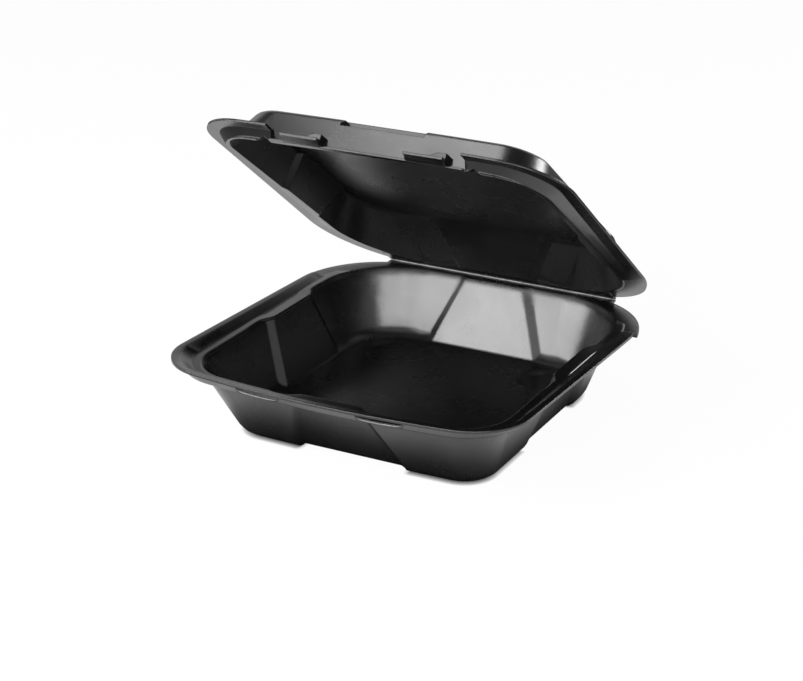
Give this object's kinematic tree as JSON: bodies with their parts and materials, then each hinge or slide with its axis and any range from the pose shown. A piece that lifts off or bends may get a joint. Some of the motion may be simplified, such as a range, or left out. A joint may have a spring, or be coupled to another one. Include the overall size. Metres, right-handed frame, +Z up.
{
  "type": "hinged foam take-away box",
  "caption": "Square black foam clamshell box with a domed lid on a pressed hinge, a stepped rim and a front snap closure, lid standing open.",
  "frame": {"origin": "middle of the open box's plan, on the plane that the feet stand on", "axes": "+X to the right along the front, +Y towards the hinge, +Z up"},
  "size_m": [0.235, 0.247, 0.1927],
  "materials": {
    "tray_foam": "foamed polystyrene sheet, black, satin skin",
    "lid_foam": "foamed polystyrene sheet, black, satin skin"
  },
  "bodies": {
    "tray_body": {"base_tray": "tray_foam"},
    "lid_body": {"lid": "lid_foam"}
  },
  "joints": [
    {"name": "lid_hinge", "type": "hinge", "parent": "tray_body", "child": "lid_body", "pos_m": [0, 0.12267, 0.04755], "axis": [-1, 0, 0], "range_deg": [-36, 144]}
  ]
}
